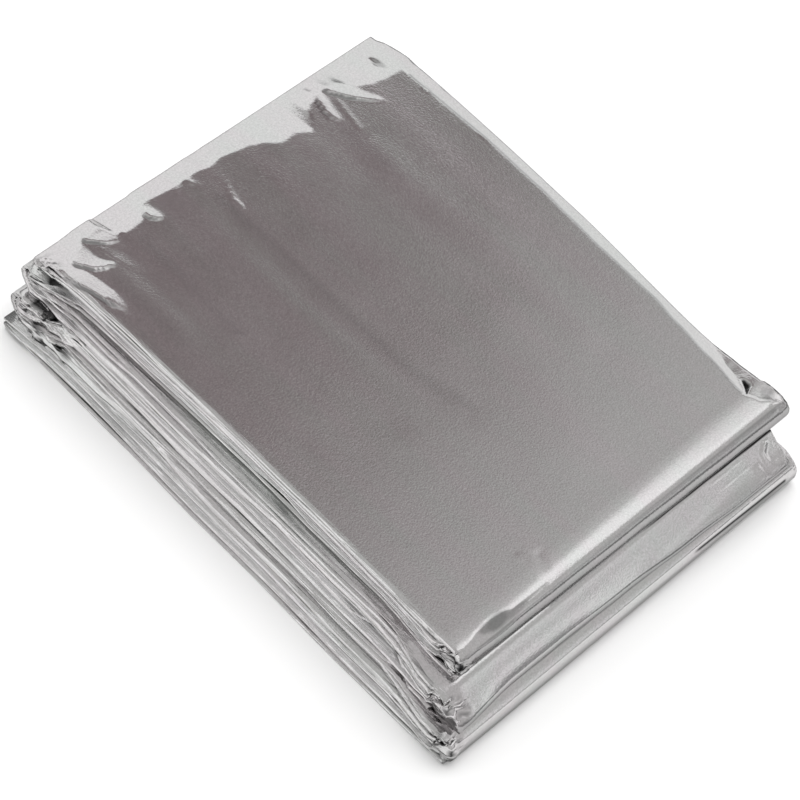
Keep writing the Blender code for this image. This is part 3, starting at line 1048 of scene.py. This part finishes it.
def film_noise(tree, places, scale, detail, stretch=(1.0, 1.0, 1.0)):
    """The value of a noise texture over the object."""
    mapping = add_node(tree, "Mapping", {"Scale": stretch, "Vector": places})
    stretched = mapping.outputs["Vector"]
    inputs = {"Scale": scale, "Detail": detail, "Vector": stretched}
    return add_node(tree, "TexNoise", inputs).outputs["Fac"]


def ranged(tree, value, low, high, start, end, **settings):
    """A value mapped so that low to high becomes start to end."""
    inputs = {"Value": value, "From Min": low, "From Max": high, "To Min": start, "To Max": end}
    return add_node(tree, "MapRange", inputs, **settings).outputs["Result"]


def attribute(tree, name):
    """The value of one of the film's vertex attributes."""
    return add_node(tree, "Attribute", {}, attribute_name=name).outputs["Fac"]


def bump(tree, height, distance, strength, under=None):
    """The normal of a relief, over another relief's normal."""
    inputs = {"Height": height, "Distance": distance, "Strength": strength}
    if under:
        inputs["Normal"] = under
    return add_node(tree, "Bump", inputs).outputs["Normal"]


def film_material():
    """Bright metallised film with faint tints, grain, uneven gloss and painted shade."""
    material = bpy.data.materials.new("metallised_film")
    material.use_nodes = True
    tree = material.node_tree
    places = tree.nodes.new("ShaderNodeTexCoord").outputs["Object"]
    broad = film_noise(tree, places, 150.0, 3.0, (0.12, 1.0, 1.0))
    tint = add_node(tree, "ValToRGB", {"Fac": broad})
    for end, (position, colour) in zip(tint.color_ramp.elements, FILM_TINTS):
        end.position = position
        end.color = colour
    grains = ranged(tree, film_noise(tree, places, 2400.0, 1.0), 0.3, 0.7, 0.93, 1.05)
    grained = add_node(tree, "VectorMath", {0: tint.outputs["Color"], "Scale": grains},
                       operation="SCALE").outputs["Vector"]
    gloss = film_noise(tree, places, 60.0, 4.0)

    grain = bump(tree, film_noise(tree, places, 2600.0, 2.0), 0.0002, 0.10)
    waves = bump(tree, film_noise(tree, places, 90.0, 2.0), 0.0006, 0.03, grain)
    fine_lines = film_noise(tree, places, 1500.0, 2.0, (0.03, 1.0, 1.0))
    pleats = bump(tree, fine_lines, 0.0003, attribute(tree, "pleated"), waves)
    # the base colour goes towards the painted shade colour where "inside" is high
    feed(tree, tree.nodes["Principled BSDF"], {
        "Metallic": 1.0,
        "Specular Tint": (0.5, 0.5, 0.5, 1.0),
        "Base Color": mix_colour(tree, attribute(tree, "inside"), grained, PAINTED_SHADE_COLOUR),
        "Roughness": ranged(tree, gloss, 0.0, 1.0, *ROUGHNESS),
        "Normal": pleats,
    })
    return material


def add_film():
    """The folded sheet of film."""
    mesh = flat_grid()
    for zone in FINE_ZONES:
        refine(mesh, zone)
    # the "inside" attribute holds each point's painted shade
    darkness = mesh.verts.layers.float.new("inside")
    pleats = mesh.verts.layers.float.new("pleated")
    for vertex in mesh.verts:
        point, vertex[darkness], vertex[pleats] = place(vertex.co.x, vertex.co.y)
        vertex.co = (point + TABLE_ORIGIN) * MM
    bmesh.ops.recalc_face_normals(mesh, faces=mesh.faces)
    data = bpy.data.meshes.new("foil_sheet")
    mesh.to_mesh(data)
    mesh.free()
    data.materials.append(film_material())
    data.shade_smooth()
    film = bpy.data.objects.new("foil_sheet", data)
    bpy.context.scene.collection.objects.link(film)
    thickness = film.modifiers.new("film", "SOLIDIFY")
    thickness.thickness = FILM * MM
    thickness.offset = 0.0
    return film


def add_floor():
    """A plain white floor."""
    bpy.ops.mesh.primitive_plane_add(size=6.0, location=(0.0, 0.0, -0.0001))
    floor = bpy.context.object
    floor.name = "floor"
    material = bpy.data.materials.new("white_floor")
    material.use_nodes = True
    tree = material.node_tree
    feed(tree, tree.nodes["Principled BSDF"], {
        "Base Color": (0.92, 0.92, 0.92, 1.0),
        "Roughness": 0.9,
        "Specular IOR Level": 0.0,
    })
    floor.data.materials.append(material)


def direction(azimuth, elevation):
    """Unit vector of an azimuth from +X and an elevation, in degrees."""
    a, e = math.radians(azimuth), math.radians(elevation)
    return Vector((math.cos(a) * math.cos(e), math.sin(a) * math.cos(e), math.sin(e)))


def within(tree, ray, field):
    """1 where a ray points well inside a field, easing to 0 outside it."""
    middle = direction(field.azimuth, field.elevation)
    dot = add_node(tree, "VectorMath", {0: ray, 1: middle}, operation="DOT_PRODUCT")
    low = math.cos(math.radians(field.ends))
    high = math.cos(math.radians(field.full))
    return ranged(tree, dot.outputs["Value"], low, high, 0.0, 1.0,
                  interpolation_type="SMOOTHSTEP")


def mix_colour(tree, share, start, end):
    """Mix of two colours or colour outputs."""
    ends = [(*end, 1.0) if isinstance(end, tuple) else end for end in (start, end)]
    inputs = {0: share, 6: ends[0], 7: ends[1]}
    return add_node(tree, "Mix", inputs, data_type="RGBA").outputs[2]


def add_world():
    """The light fields that the film reflects, and a plain pale background.

    Each field is placed so that its reflection falls where the
    photograph has a light or dark area.
    """
    world = bpy.data.worlds.new("studio")
    bpy.context.scene.world = world
    world.use_nodes = True
    tree = world.node_tree
    ray = tree.nodes.new("ShaderNodeTexCoord").outputs["Generated"]
    colour = CEILING_LIGHT
    for field in FIELDS:
        light = field.light
        if field is SOFTBOX:
            light = mix_colour(tree, within(tree, ray, SOFTBOX_CUT), colour, light)
        inside, outside = (colour, light) if field.outer else (light, colour)
        colour = mix_colour(tree, within(tree, ray, field), outside, inside)
    seen = tree.nodes.new("ShaderNodeLightPath").outputs["Is Camera Ray"]
    colour = mix_colour(tree, seen, colour, BACKDROP_LIGHT)
    tree.links.new(colour, tree.nodes["Background"].inputs["Color"])


def add_lamp():
    """A broad lamp for the floor, with a soft shadow."""
    data = bpy.data.lights.new("overhead", "AREA")
    data.shape = "DISK"
    data.size = 1.6
    data.energy = 16.0
    lamp = bpy.data.objects.new("overhead", data)
    lamp.location = LAMP_PLACE
    lamp.rotation_euler = (-LAMP_PLACE).to_track_quat("-Z", "Y").to_euler()
    lamp.visible_glossy = False
    bpy.context.scene.collection.objects.link(lamp)


def add_camera():
    """A long lens over the pad's front left corner."""
    roll = math.radians(CAMERA_ROLL)
    back = direction(CAMERA_AZIMUTH - 90.0, CAMERA_ELEVATION)
    flat_right = direction(CAMERA_AZIMUTH, 0.0)
    flat_up = back.cross(flat_right)
    right = flat_right * math.cos(roll) + flat_up * math.sin(roll)
    up = flat_up * math.cos(roll) - flat_right * math.sin(roll)
    target = TABLE_ORIGIN + Vector((0.0, 0.0, TOP_HEIGHT))
    target += right * CAMERA_ASIDE + up * CAMERA_RISE
    data = bpy.data.cameras.new("camera")
    data.sensor_width = SENSOR
    data.lens = LENS
    data.clip_start = 0.01
    camera = bpy.data.objects.new("camera", data)
    camera.matrix_world = Matrix((right, up, back)).transposed().to_4x4()
    camera.matrix_world.translation = (target + back * CAMERA_DISTANCE) * MM
    bpy.context.scene.collection.objects.link(camera)
    bpy.context.scene.camera = camera


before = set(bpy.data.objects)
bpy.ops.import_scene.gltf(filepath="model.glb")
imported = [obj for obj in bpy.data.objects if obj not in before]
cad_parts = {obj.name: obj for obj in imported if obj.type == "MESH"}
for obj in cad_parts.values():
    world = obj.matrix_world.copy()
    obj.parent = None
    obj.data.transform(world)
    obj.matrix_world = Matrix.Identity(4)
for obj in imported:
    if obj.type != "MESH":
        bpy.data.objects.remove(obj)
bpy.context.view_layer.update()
film = add_film()
add_floor()
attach(film, "root")
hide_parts("foil_blanket")
add_world()
add_lamp()
add_camera()
bpy.context.scene.view_settings.view_transform = "Standard"
